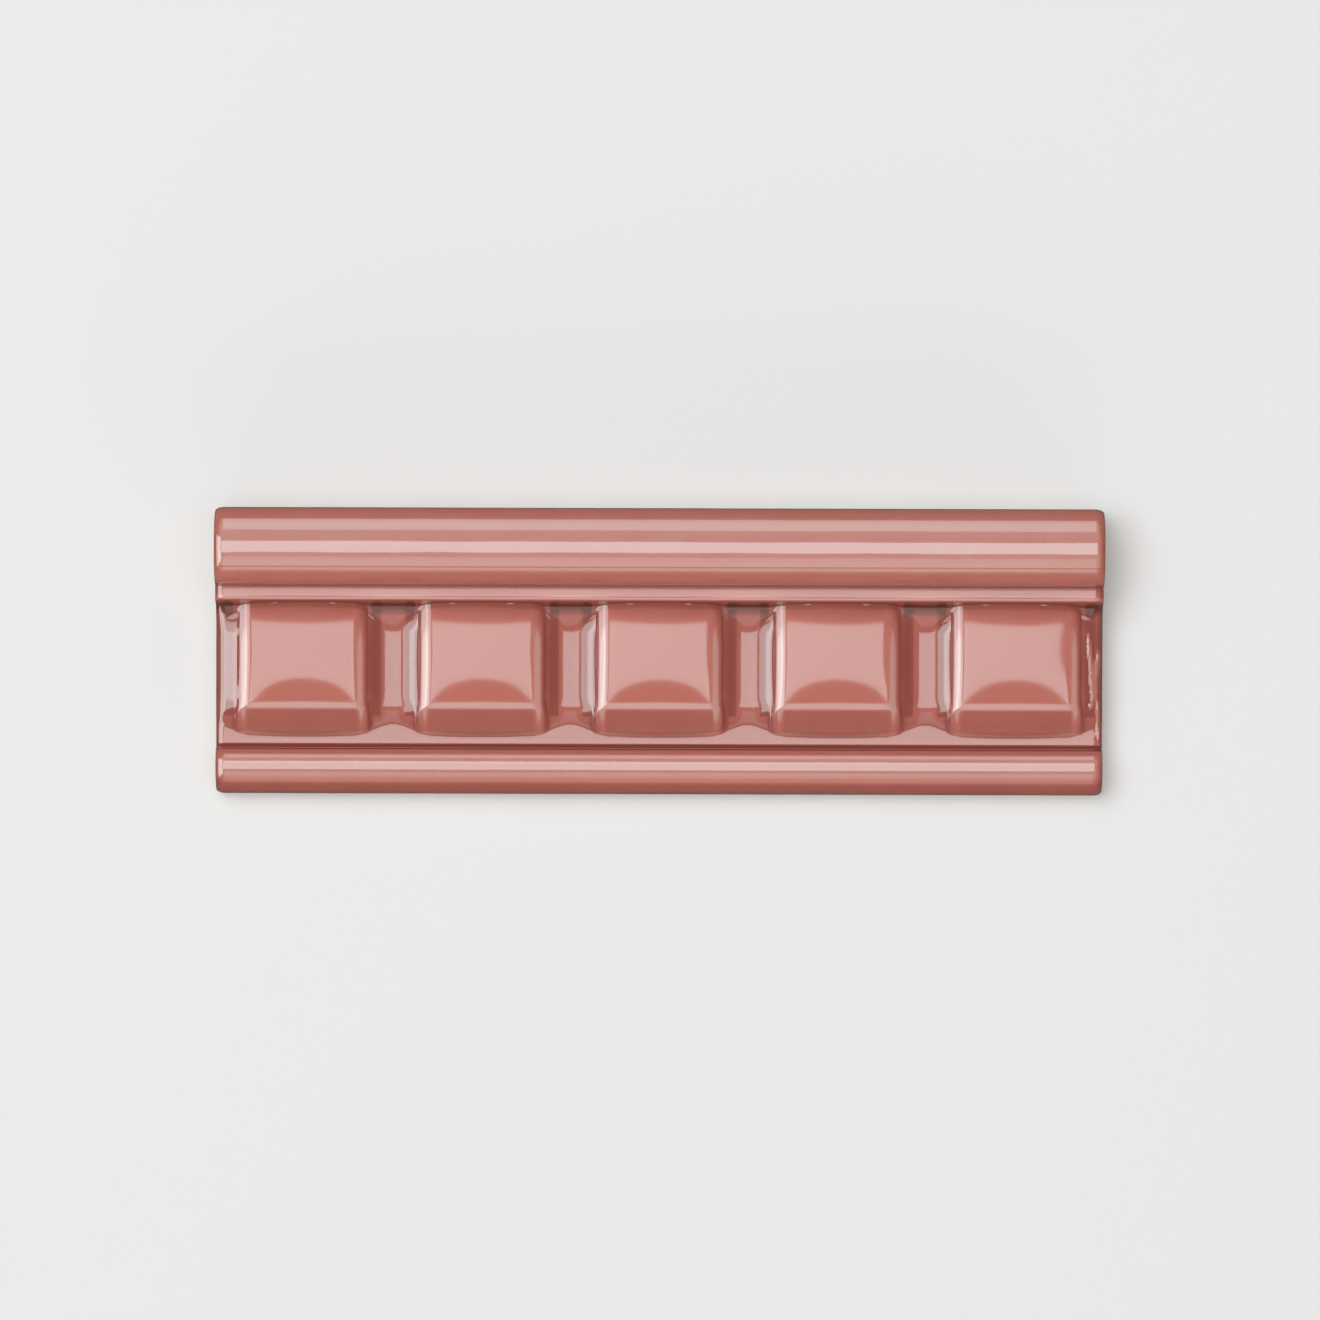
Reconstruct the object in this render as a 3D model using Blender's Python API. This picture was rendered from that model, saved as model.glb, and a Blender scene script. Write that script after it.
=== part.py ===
"""Glazed ceramic moulding tile with a row of dentils, made as one pressed and fired piece.

Metres, +Z up. The tile lies on its flat back: its length runs along X, and its head, the side
with the large roll, is at +Y. The origin is the middle of the back.
"""

import math

import bmesh
import bpy
import numpy as np
from mathutils import Vector

MM = 0.001

# The whole tile. It is sold as a 6 inch tile, about 2 inches wide.
LENGTH = 152.0 * MM
WIDTH = 49.0 * MM

# Heights are above the back. Places across the tile are measured from its foot edge.
# Torus: the half-round roll along the head.
TORUS_WIDTH = 13.3 * MM
TORUS_HEIGHT = 20.0 * MM
TORUS_RADIUS = 6.6 * MM
# Astragal: the small bead under the torus.
ASTRAGAL_WIDTH = 2.3 * MM
ASTRAGAL_HEIGHT = 13.9 * MM
ASTRAGAL_RADIUS = 0.95 * MM
# Foot bead: its outer side is rounder than its inner side.
BEAD_WIDTH = 7.7 * MM
BEAD_HEIGHT = 11.0 * MM
BEAD_OUTER_RADIUS = 4.7 * MM
BEAD_INNER_RADIUS = 2.9 * MM
# Quirks: the fine sharp grooves beside the torus and beside the foot bead.
HEAD_QUIRK_HEIGHT = 12.6 * MM
FOOT_QUIRK_HEIGHT = 8.1 * MM
FLANK_DRAFT = 0.1 * MM

# Ledge: the narrow flat strip between the foot quirk and the dentils.
LEDGE_START = 8.5 * MM
LEDGE_END = 11.9 * MM
LEDGE_HEIGHT = 9.0 * MM
LEDGE_START_RADIUS = 0.3 * MM
LEDGE_END_RADIUS = 1.2 * MM
# Pocket: the scooped recess between two dentils, seen here along its middle.
POCKET_FOOT = 14.6 * MM
POCKET_FOOT_HEIGHT = 7.9 * MM
POCKET_FOOT_RADIUS = 4.0 * MM
POCKET_LOWEST = 21.3 * MM
POCKET_LOWEST_HEIGHT = 7.5 * MM
POCKET_SCOOP_RADIUS = 55.0 * MM
POCKET_HEAD = 30.9 * MM
POCKET_HEAD_HEIGHT = 8.2 * MM
POCKET_HEAD_RADIUS = 4.3 * MM

# Dentils: five domed blocks, with half a pocket left at each end of the tile.
DENTIL_COUNT = 5
DENTIL_PITCH = LENGTH / DENTIL_COUNT
DENTIL_CROWN_HEIGHT = 12.9 * MM
DENTIL_CROWN = 24.6 * MM
DOME_RISE = 3.1 * MM
DOME_REACH = 16.0 * MM
SIDE_TOP = 9.9 * MM
SIDE_SLOPE = math.tan(math.radians(62))
BEVEL_TOP = 14.4 * MM
BEVEL_SLOPE = math.tan(math.radians(37))
DENTIL_EDGE_HEIGHT = 12.0 * MM
SIDE_ROUNDING = 2.1 * MM
BEVEL_ROUNDING = 0.5 * MM
# How deep the smooth joint at a dentil's foot is: small at the ledge and head, large beside a pocket.
FOOT_JOINTS = ((10.5 * MM, 0.5 * MM), (15.0 * MM, 2.5 * MM), (29.0 * MM, 2.5 * MM), (32.5 * MM, 1.1 * MM))

# Edges of the outline: the face rolls over at both ends, and the back has a small arris all round.
END_RADIUS = 1.5 * MM
END_SWEEP = math.radians(80)
CORNER_INSET = 0.5 * MM
BACK_ARRIS = 0.5 * MM

# How finely the surface is divided.
ARC_STEP = math.radians(12)
END_STEPS = 4
CLOSEST_LINES = 0.15 * MM
# Rows across the band of dentils, and columns from a dentil's middle to a pocket's middle. Each is
# a place, the number of steps from it to the next place, that place, and so on.
BAND_ROWS = (
    LEDGE_START + 0.4 * MM, 2, 9.8 * MM, 3, 11.2 * MM, 3, BEVEL_TOP - 0.8 * MM, 4,
    BEVEL_TOP + 1.0 * MM, 6, 28.0 * MM, 7, 32.9 * MM,
)
BAY_COLUMNS = (0.0, 4, SIDE_TOP - 1.3 * MM, 7, SIDE_TOP + 3.5 * MM, 2, DENTIL_PITCH / 2)

GLAZE_COLOUR = (0.55, 0.20, 0.16, 1.0)
GLAZE_ROUGHNESS = 0.12


def clear_scene():
    """Remove the objects that a new file starts with."""
    for obj in list(bpy.data.objects):
        bpy.data.objects.remove(obj, do_unlink=True)


def divided(stretches):
    """Return all the places of a list such as BAND_ROWS."""
    places = [stretches[0]]
    for start, steps, stop in zip(stretches[::2], stretches[1::2], stretches[2::2]):
        places += [start + (stop - start) * step / steps for step in range(1, steps + 1)]
    return places


def rounded_path(corners):
    """Return the points of a path whose corners (y, z, radius) are rounded to their own radii."""
    points = [Vector(corners[0][:2])]
    for before, corner, after in zip(corners, corners[1:], corners[2:]):
        vertex = Vector(corner[:2])
        radius = corner[2]
        way_in = (vertex - Vector(before[:2])).normalized()
        way_out = (Vector(after[:2]) - vertex).normalized()
        turn = way_in.angle_signed(way_out)
        tangent = radius * math.tan(abs(turn) / 2)
        centre_side = Vector((way_in.y, -way_in.x)) * math.copysign(radius, turn)
        start = vertex - way_in * tangent
        centre = start + centre_side
        steps = math.ceil(abs(turn) / ARC_STEP) if radius else 0
        for step in range(steps + 1):
            angle = -turn * step / max(steps, 1)
            spoke = -centre_side
            points.append(centre + Vector((
                spoke.x * math.cos(angle) - spoke.y * math.sin(angle),
                spoke.x * math.sin(angle) + spoke.y * math.cos(angle),
            )))
    points.append(Vector(corners[-1][:2]))
    return points


def section_corners():
    """Return the corners (y, z, radius) of the section through the middle of a pocket."""
    torus_start = WIDTH - TORUS_WIDTH
    astragal_end = torus_start - 2 * FLANK_DRAFT
    return [
        (0.0, BEAD_HEIGHT - BEAD_OUTER_RADIUS, 0.0),
        (0.0, BEAD_HEIGHT, BEAD_OUTER_RADIUS),
        (BEAD_WIDTH - FLANK_DRAFT, BEAD_HEIGHT, BEAD_INNER_RADIUS),
        (BEAD_WIDTH, FOOT_QUIRK_HEIGHT, 0.0),
        (LEDGE_START, LEDGE_HEIGHT, LEDGE_START_RADIUS),
        (LEDGE_END, LEDGE_HEIGHT, LEDGE_END_RADIUS),
        (POCKET_FOOT, POCKET_FOOT_HEIGHT, POCKET_FOOT_RADIUS),
        (POCKET_LOWEST, POCKET_LOWEST_HEIGHT, POCKET_SCOOP_RADIUS),
        (POCKET_HEAD, POCKET_HEAD_HEIGHT, POCKET_HEAD_RADIUS),
        (astragal_end - ASTRAGAL_WIDTH, ASTRAGAL_HEIGHT, ASTRAGAL_RADIUS),
        (astragal_end, ASTRAGAL_HEIGHT, ASTRAGAL_RADIUS),
        (torus_start - FLANK_DRAFT, HEAD_QUIRK_HEIGHT, 0.0),
        (torus_start, TORUS_HEIGHT, TORUS_RADIUS),
        (WIDTH, TORUS_HEIGHT, TORUS_RADIUS),
        (WIDTH, TORUS_HEIGHT - TORUS_RADIUS, 0.0),
    ]


def section_rows():
    """Return the section as (y, z) rows, closer together in the band where the dentils need them."""
    path = np.array(rounded_path(section_corners()))
    across = path[:, 0]
    band = divided(BAND_ROWS)
    outside = path[(across < band[0] - CLOSEST_LINES) | (across > band[-1] + CLOSEST_LINES)]
    inside = np.column_stack([band, np.interp(band, across, path[:, 1])])
    rows = np.vstack([outside, inside])
    return rows[np.argsort(rows[:, 0], kind="stable")]


def tile_columns():
    """Return (x, drop) along the tile. The drop rounds the face over at both ends."""
    middle = (DENTIL_COUNT - 1) / 2
    places = set()
    for dentil in range(DENTIL_COUNT):
        centre = (dentil - middle) * DENTIL_PITCH
        for offset in divided(BAY_COLUMNS):
            places.update((round(centre - offset, 7), round(centre + offset, 7)))
    flat_half = LENGTH / 2 - END_RADIUS
    columns = [(x, 0.0) for x in places if abs(x) < flat_half - CLOSEST_LINES]
    for step in range(END_STEPS + 1):
        angle = END_SWEEP * step / END_STEPS
        x = flat_half + END_RADIUS * math.sin(angle) / math.sin(END_SWEEP)
        drop = END_RADIUS * (1 - math.cos(angle))
        columns += [(x, drop), (-x, drop)]
    return sorted(columns)


def joined_high(first, second, depth):
    """Return the higher of two heights, with the corner between them filled over that depth."""
    share = max(depth - abs(first - second), 0.0) / depth
    return max(first, second) + share * share * depth / 4


def joined_low(first, second, depth):
    """Return the lower of two heights, with the corner between them rounded over that depth."""
    return -joined_high(-first, -second, depth)


def dentil_height(x, y):
    """Return the height of a dentil's own surface, x from its middle and y from the tile's foot."""
    dome = (1 - (x / DOME_REACH) ** 2) * (1 - ((y - DENTIL_CROWN) / DOME_REACH) ** 2)
    face = DENTIL_CROWN_HEIGHT - DOME_RISE + DOME_RISE * dome
    side = DENTIL_EDGE_HEIGHT + (SIDE_TOP - abs(x)) * SIDE_SLOPE
    bevel = DENTIL_EDGE_HEIGHT + (y - BEVEL_TOP) * BEVEL_SLOPE
    return joined_low(joined_low(face, bevel, BEVEL_ROUNDING), side, SIDE_ROUNDING)


def face_height(x, y, section_height):
    """Return the height of the tile's face where the plain section has the given height."""
    from_middle = (x + DENTIL_PITCH / 2) % DENTIL_PITCH - DENTIL_PITCH / 2
    joint = float(np.interp(y, *zip(*FOOT_JOINTS)))
    return joined_high(section_height, dentil_height(from_middle, y), joint)


def press_face(bm):
    """Sweep the section along the tile, and press each line of it to the height of the face."""
    rows = section_rows()
    columns = tile_columns()
    line = [bm.verts.new((columns[0][0], y, z)) for y, z in rows]
    edges = [bm.edges.new(pair) for pair in zip(line, line[1:])]
    lines = [line]
    for x, _ in columns[1:]:
        swept = bmesh.ops.extrude_edge_only(bm, edges=edges)["geom"]
        line = sorted((v for v in swept if isinstance(v, bmesh.types.BMVert)), key=lambda v: v.co.y)
        edges = [e for e in swept if isinstance(e, bmesh.types.BMEdge)]
        for vert in line:
            vert.co.x = x
        lines.append(line)
    for line, (x, drop) in zip(lines, columns):
        inset = CORNER_INSET * drop / END_RADIUS
        for vert, (y, z) in zip(line, rows):
            vert.co.z = face_height(x, y, z) - drop
            vert.co.y = (y - WIDTH / 2) * (1 - 2 * inset / WIDTH)


def close_to_back(bm):
    """Carry the rim of the face down to the back, leave a small arris there and close the back."""
    rim = [e for e in bm.edges if e.is_boundary]
    for height, inset in ((BACK_ARRIS, 0.0), (0.0, BACK_ARRIS)):
        grown = bmesh.ops.extrude_edge_only(bm, edges=rim)["geom"]
        rim = [e for e in grown if isinstance(e, bmesh.types.BMEdge)]
        for vert in (v for v in grown if isinstance(v, bmesh.types.BMVert)):
            vert.co.x *= 1 - 2 * inset / LENGTH
            vert.co.y *= 1 - 2 * inset / WIDTH
            vert.co.z = height
    bmesh.ops.contextual_create(bm, geom=rim)


def glaze_material():
    """Return the glossy pink glaze."""
    material = bpy.data.materials.new("pink_glaze")
    material.use_nodes = True
    shader = material.node_tree.nodes["Principled BSDF"]
    shader.inputs["Base Color"].default_value = GLAZE_COLOUR
    shader.inputs["Roughness"].default_value = GLAZE_ROUGHNESS
    shader.inputs["Metallic"].default_value = 0.0
    return material


def build_tile(collection):
    """Make the tile as one closed solid."""
    bm = bmesh.new()
    press_face(bm)
    close_to_back(bm)
    bmesh.ops.recalc_face_normals(bm, faces=bm.faces)
    mesh = bpy.data.meshes.new("moulding_tile")
    bm.to_mesh(mesh)
    bm.free()
    mesh.shade_smooth()
    mesh.set_sharp_from_angle(angle=math.radians(40))
    mesh.materials.append(glaze_material())
    tile = bpy.data.objects.new("moulding_tile", mesh)
    collection.objects.link(tile)
    return tile


def main():
    """Build the moulding tile in a collection of its own."""
    clear_scene()
    collection = bpy.data.collections.new("dentil_moulding_tile")
    bpy.context.scene.collection.children.link(collection)
    build_tile(collection)


if __name__ == "__main__":
    main()
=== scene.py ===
"""Looks of a pink glazed moulding tile: its pressed relief, its glaze and bare biscuit, and a studio.

Metres, +Z up. The tile lies on its back at the origin, with its length along X and its head roll at +Y.
"""

from __future__ import annotations

import logging
import math
from collections.abc import Iterator
from dataclasses import dataclass, field
from enum import Enum
from typing import ClassVar

import bmesh
import bpy
import numpy as np
from mathutils import Euler, Matrix, Vector

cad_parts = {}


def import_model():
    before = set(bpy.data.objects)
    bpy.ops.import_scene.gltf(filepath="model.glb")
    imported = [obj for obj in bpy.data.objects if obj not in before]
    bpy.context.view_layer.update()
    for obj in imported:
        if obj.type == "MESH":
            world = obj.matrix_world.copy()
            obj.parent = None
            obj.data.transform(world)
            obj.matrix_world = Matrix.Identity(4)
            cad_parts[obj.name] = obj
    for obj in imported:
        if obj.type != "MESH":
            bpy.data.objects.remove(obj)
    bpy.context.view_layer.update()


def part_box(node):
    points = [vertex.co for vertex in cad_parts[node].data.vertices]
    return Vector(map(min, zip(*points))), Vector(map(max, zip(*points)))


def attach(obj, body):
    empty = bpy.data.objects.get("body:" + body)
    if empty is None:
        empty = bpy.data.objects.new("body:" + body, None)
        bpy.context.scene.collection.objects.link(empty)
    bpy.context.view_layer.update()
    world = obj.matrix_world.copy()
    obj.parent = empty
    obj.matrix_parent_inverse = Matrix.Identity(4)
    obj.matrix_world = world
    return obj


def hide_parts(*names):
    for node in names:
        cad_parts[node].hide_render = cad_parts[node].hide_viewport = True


log = logging.getLogger("moulding_tile")

MM = 0.001
WELD = 0.01 * MM
PHOTO_PIXELS = 1320
# The glaze's depth at each point. It also carries painted shade in hollows and creases and on slopes, and
# painted highlight along arrises and on drips.
GLAZE_DEPTH_AND_SHADE = "glaze_depth_and_shade"

Height = np.ndarray
Node = bpy.types.Node
Socket = bpy.types.NodeSocket


def joined_high(first: Height, second: Height, depth: Height | float) -> Height:
    """Take the higher of two surfaces and fill the corner where they meet.

    Args:
        first: Heights of one surface.
        second: Heights of the other.
        depth: How much they may differ in height and still be blended.

    Returns:
        The joined heights.
    """
    share = np.maximum(depth - np.abs(first - second), 0.0) / depth
    return np.maximum(first, second) + share * share * depth / 4


def eased(value: Height, low: float, high: float) -> Height:
    """Go smoothly from 0 at low to 1 at high."""
    share = np.clip((value - low) / (high - low), 0.0, 1.0)
    return share * share * (3 - 2 * share)


@dataclass(frozen=True)
class Corner:
    """A corner of the tile's section, rounded to its own radius.

    Attributes:
        y: Distance from the foot edge.
        z: Height above the back.
        radius: Radius of the rounding, or 0 at an end.
    """

    y: float
    z: float
    radius: float = 0.0

    @property
    def place(self) -> Vector:
        """Where the corner is, in the section's own plane."""
        return Vector((0.0, self.y, self.z))


class SectionPen:
    """Draws the tile's section as one chain of edges, from straight runs and spun arcs."""

    wide_turn = math.radians(3.4)
    tight_turn = math.radians(10)
    tight_radius = 0.9 * MM

    def __init__(self, bm: bmesh.types.BMesh, start: Vector, pitch: float) -> None:
        """Put the pen down.

        Args:
            bm: The mesh to draw in.
            start: The chain's first point.
            pitch: The widest step along the chain.
        """
        self.bm = bm
        self.tip = bm.verts.new(start)
        self.pitch = pitch

    def line(self, end: Vector) -> None:
        """Draw a straight run.

        Args:
            end: The point to draw to.
        """
        run = end - self.tip.co
        steps = math.ceil(run.length / self.pitch)
        for _ in range(steps):
            self.tip = bmesh.ops.extrude_vert_indiv(self.bm, verts=[self.tip])["verts"][0]
            self.tip.co += run / steps

    def arc(self, centre: Vector, sweep: float, radius: float) -> None:
        """Draw an arc.

        Args:
            centre: The point it goes about.
            sweep: How far it turns about +X, in radians.
            radius: Its radius.
        """
        turn = self.tight_turn if radius < self.tight_radius else self.wide_turn
        steps = max(math.ceil(abs(sweep) / turn), math.ceil(radius * abs(sweep) / self.pitch))
        geometry = [self.tip]
        spun = bmesh.ops.spin(self.bm, geom=geometry, cent=centre, axis=(1, 0, 0), angle=sweep, steps=steps)
        self.tip = next(part for part in spun["geom_last"] if isinstance(part, bmesh.types.BMVert))

    def turn(self, before: Corner, corner: Corner, after: Corner) -> None:
        """Draw up to a corner and round it.

        Args:
            before: The corner the pen comes from.
            corner: The corner to round.
            after: The corner the pen goes on to.
        """
        way_in = (corner.place - before.place).normalized()
        way_out = (after.place - corner.place).normalized()
        sweep = way_in.yz.angle_signed(way_out.yz)
        start = corner.place - way_in * corner.radius * math.tan(abs(sweep) / 2)
        self.line(start)
        inward = Vector((0.0, way_in.z, -way_in.y)) * math.copysign(corner.radius, sweep)
        self.arc(start + inward, -sweep, corner.radius)


@dataclass
class Mouldings:
    """The straight mouldings that run the whole length of the tile, seen in section.

    The torus is the head roll, the astragal the small bead beside it, and a quirk a fine groove. Places
    are measured from the foot edge, heights from the back, and pockets along their middles.
    """

    width: float
    torus_crest: float
    torus_width: float = 13.05 * MM
    torus_flank_radius: float = 5.5 * MM
    torus_crest_radius: float = 8.0 * MM
    torus_shoulder: float = math.radians(25)
    torus_lean: float = 0.42 * MM
    rim_below_crest: float = 8.0 * MM
    astragal_width: float = 2.5 * MM
    astragal_crest: float = 13.9 * MM
    astragal_camber: float = 0.12
    astragal_radius: float = 0.7 * MM
    astragal_crest_radius: float = 5.0 * MM
    bead_width: float = 7.8 * MM
    bead_crest: float = 11.0 * MM
    bead_outer_radius: float = 4.7 * MM
    bead_inner_radius: float = 2.5 * MM
    head_quirk: float = 13.6 * MM
    foot_quirk: float = 7.5 * MM
    quirk_radius: float = 0.1 * MM
    draft: float = 0.1 * MM
    ledge_start: float = 8.55 * MM
    ledge_end: float = 12.1 * MM
    ledge_height: float = 8.35 * MM
    ledge_inner_radius: float = 0.4 * MM
    ledge_outer_radius: float = 4.0 * MM
    pocket_foot: float = 14.7 * MM
    pocket_height: float = 9.15 * MM
    pocket_foot_radius: float = 7.0 * MM
    pocket_dip: float = 28.9 * MM
    pocket_dip_radius: float = 10.0 * MM
    pocket_head: float = 32.2 * MM
    pocket_head_height: float = 10.75 * MM
    pocket_head_radius: float = 0.6 * MM
    pitch: float = 0.32 * MM

    @property
    def torus_start(self) -> float:
        """Where the head roll rises out of its quirk."""
        return self.width - self.torus_width

    def corners(self) -> list[Corner]:
        """List the section's corners along a pocket's middle.

        Returns:
            The corners from the foot edge to the head edge.
        """
        astragal_end = self.torus_start - 2 * self.draft
        astragal_middle = astragal_end - self.astragal_width / 2
        torus_middle = self.width - self.torus_width / 2
        camber = self.astragal_camber * self.astragal_width / 2
        peak = self.torus_crest + self.torus_crest_radius * (1 / math.cos(self.torus_shoulder) - 1)
        shoulder = peak - self.torus_width / 2 * math.tan(self.torus_shoulder)
        return [
            Corner(0.0, self.bead_crest - self.bead_outer_radius),
            Corner(0.0, self.bead_crest, self.bead_outer_radius),
            Corner(self.bead_width - self.draft, self.bead_crest, self.bead_inner_radius),
            Corner(self.bead_width, self.foot_quirk, self.quirk_radius),
            Corner(self.ledge_start, self.ledge_height, self.ledge_inner_radius),
            Corner(self.ledge_end, self.ledge_height, self.ledge_outer_radius),
            Corner(self.pocket_foot, self.pocket_height, self.pocket_foot_radius),
            Corner(self.pocket_dip, self.pocket_height, self.pocket_dip_radius),
            Corner(self.pocket_head, self.pocket_head_height, self.pocket_head_radius),
            Corner(astragal_end - self.astragal_width, self.astragal_crest - camber, self.astragal_radius),
            Corner(astragal_middle, self.astragal_crest, self.astragal_crest_radius),
            Corner(astragal_end, self.astragal_crest - camber, self.astragal_radius),
            Corner(self.torus_start - self.draft, self.head_quirk, self.quirk_radius),
            Corner(self.torus_start, shoulder, self.torus_flank_radius),
            Corner(torus_middle - self.torus_lean, peak, self.torus_crest_radius),
            Corner(self.width, shoulder, self.torus_flank_radius),
            Corner(self.width, self.torus_crest - self.rim_below_crest),
        ]

    def pocket_rise(self, y: Height) -> Height:
        """Give the height of a pocket's floor where it rises to its head, carried on into the wall."""
        rise = (self.pocket_head_height - self.pocket_height) / (self.pocket_head - self.pocket_dip)
        return self.pocket_height + (y - self.pocket_dip) * rise

    def section(self) -> np.ndarray:
        """Draw the section.

        Returns:
            Its points from foot to head, one row of Y and Z each.
        """
        bm = bmesh.new()
        corners = self.corners()
        pen = SectionPen(bm, corners[0].place, self.pitch)
        for before, corner, after in zip(corners, corners[1:], corners[2:]):
            pen.turn(before, corner, after)
        pen.line(corners[-1].place)
        bmesh.ops.remove_doubles(bm, verts=bm.verts, dist=WELD)
        tips = [vert for vert in bm.verts if len(vert.link_edges) == 1]
        link = min(tips, key=lambda vert: vert.co.y)
        edge = link.link_edges[0]
        points = [link.co.yz]
        while edge:
            link = edge.other_vert(link)
            points.append(link.co.yz)
            edge = next((other for other in link.link_edges if other is not edge), None)
        bm.free()
        return np.array(points)


@dataclass
class DentilRow:
    """The row of domed dentils with scooped pockets between them, and half a pocket at each end."""

    length: float
    mouldings: Mouldings
    count: int = 5
    # The domed face.
    crown_height: float = 13.2 * MM
    crown: float = 24.45 * MM
    dome_radius: float = 41.0 * MM
    fade_to_head: float = 24.0 * MM
    fade_to_foot: float = 12.5 * MM
    least_fall: float = 0.1
    cross_radius: float = 50.0 * MM
    # The sides, with a steep riser at their foot.
    side_top: float = 9.7 * MM
    side_tilt: float = math.radians(42)
    side_rounding: float = 1.2 * MM
    riser_top: float = 10.6 * MM
    riser_tilt: float = math.radians(61)
    riser_rounding: float = 0.15 * MM
    end_widening: float = 0.65 * MM
    # The bevel towards the foot.
    bevel_top: float = 15.1 * MM
    bevel_tilt: float = math.radians(36.5)
    bevel_rounding: float = 0.4 * MM
    corner_power: float = 2.4
    # The fillets around a dentil.
    flat_drop: float = 0.1 * MM
    crisp_joint: float = 0.04 * MM
    corner_joint: float = 0.2 * MM
    side_joint: float = 0.12 * MM
    joint_power: float = 1.5
    # The scooped floor of a pocket.
    scoop_curve: float = 0.077 / MM
    end_slope: float = 0.42
    scoop_foot: float = 11.0 * MM
    scoop_full: float = 17.0 * MM
    scoop_thin: float = 27.2 * MM
    scoop_head: float = 32.2 * MM
    scoop_edge: float = 2.0 * MM
    wall_reach: float = 0.8 * MM
    # The flare of the ledge beside the dentils.
    apron_start: float = 8.8 * MM
    apron_end: float = 14.2 * MM
    apron_slant: float = 0.38
    apron_joint: float = 0.4 * MM
    apron_fade: float = 18.0 * MM
    # Where the glaze pools, and where painted shade darkens the same places further.
    pool_start: float = 11.5 * MM
    pool_fade: float = 13.2 * MM
    pool_edge: float = 0.4 * MM
    pool_foot: float = 13.4 * MM
    pool_head: float = 30.8 * MM
    pool_end: float = 33.1 * MM
    crease_start: float = 28.0 * MM
    crease_pool_and_shade: float = 0.6
    corner_shade: float = 0.5
    floor_pool_and_shade: float = 0.3
    floor_start: float = 10.6 * MM
    floor_end: float = 9.8 * MM
    # Where the glaze runs thin, with a painted highlight along the same arrises.
    arris_thinness_and_highlight: float = 0.72
    arris_reach: float = 0.85 * MM
    arris_foot: float = 8.8 * MM
    arris_head: float = 24.0 * MM
    # The grid's columns.
    face_step: float = 0.85 * MM
    wall_step: float = 0.3 * MM
    wall_start: float = 7.7 * MM
    wall_end: float = 14.3 * MM
    digits: int = 7

    @property
    def pitch(self) -> float:
        """The distance from one dentil's middle to the next."""
        return self.length / self.count

    def bay(self) -> Iterator[float]:
        """Step from a dentil's middle to a pocket's middle, with the shortest steps on the wall.

        Yields:
            Each column's distance from the dentil's middle.
        """
        x = 0.0
        while x < self.pitch / 2 - self.wall_step:
            yield x
            x += self.wall_step if self.wall_start < x < self.wall_end else self.face_step
        yield self.pitch / 2

    def columns(self) -> list[float]:
        """List the grid's columns over the whole row.

        Returns:
            Their places along X, in order and without repeats.
        """
        middle = (self.count - 1) / 2
        centres = [(dentil - middle) * self.pitch for dentil in range(self.count)]
        places = (centre + way * x for centre in centres for x in self.bay() for way in (-1, 1))
        return sorted({round(place, self.digits) for place in places})

    def face_height(self, x: Height, y: Height) -> Height:
        """Give the height of a dentil's domed face, as if it had no sides.

        Args:
            x: Distance from the dentil's middle.
            y: Distance from the tile's foot edge.

        Returns:
            Heights above the back.
        """
        off_crown = y - self.crown
        fade = np.where(off_crown < 0, self.fade_to_foot, self.fade_to_head)
        fall = off_crown**2 / (2 * self.dome_radius) * np.maximum(1 - (x / fade) ** 2, self.least_fall)
        return self.crown_height - fall - x**2 / (2 * self.cross_radius)

    def off_middle(self, x: Height) -> tuple[Height, Height]:
        """Measure from the nearest dentil's middle.

        Args:
            x: Places along the tile.

        Returns:
            The distances with their sign, and the distances as the dentil's sides see them, which is
            less on the outer sides of the row, because those dentils are wider there.
        """
        from_middle = (x + self.pitch / 2) % self.pitch - self.pitch / 2
        outward = np.abs(x) > self.pitch * (self.count // 2)
        return from_middle, np.abs(from_middle) - np.where(outward, self.end_widening, 0.0)

    def pooled_and_shaded(self, x: Height, y: Height) -> Height:
        """Find where glaze pools around the dentils, with painted shade that darkens the walls, pocket
        heads, corners and creases further.

        Args:
            x: Places along the tile.
            y: Distances from the foot edge.

        Returns:
            1 along the foot of a dentil's side and of a pocket's head, more in the painted-shade corners of
            a pocket's head, less on the floor and 0 on a dentil.
        """
        _, out = self.off_middle(x)
        edge = self.pool_edge
        beside = eased(out, self.pool_start - edge, self.pool_start + edge)
        at_head = eased(y, self.pool_head - edge, self.pool_head + edge)
        by_side = eased(out, self.pool_fade + edge, self.pool_fade - edge)
        off_foot = eased(y, self.pool_foot - edge, self.pool_foot + edge)
        in_pocket = beside * np.maximum(at_head, by_side) * off_foot
        # Painted shade: the corners at a pocket's head are darkened further.
        in_pocket += self.corner_shade * beside * at_head * by_side
        # The crease under the astragal: pooled glaze, darkened further as painted shade.
        crease = self.crease_pool_and_shade * eased(y, self.crease_start, self.pool_end)
        off_side = eased(out, self.side_top, self.pool_start)
        on_floor = np.maximum(off_side, eased(y, self.floor_start, self.floor_end))
        return np.maximum(np.maximum(in_pocket, crease), self.floor_pool_and_shade * on_floor) * (y < self.pool_end)

    def thinned_and_highlit(self, x: Height, y: Height) -> Height:
        """Find where the glaze runs thin along the arrises around a dentil's face, lightened further as a
        painted highlight.

        Args:
            x: Places along the tile.
            y: Distances from the foot edge.

        Returns:
            How much thinner and lighter the glaze is, 0 away from the arrises.
        """
        _, out = self.off_middle(x)
        at_foot = eased(np.abs(y - self.bevel_top), self.arris_reach, 0.0) * (out < self.side_top)
        beside = eased(np.abs(out - self.side_top), self.arris_reach, 0.0)
        beside = beside * eased(y, self.pool_head, self.arris_head)
        return self.arris_thinness_and_highlight * np.maximum(at_foot, beside * eased(y, self.arris_foot, self.bevel_top))

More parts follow.
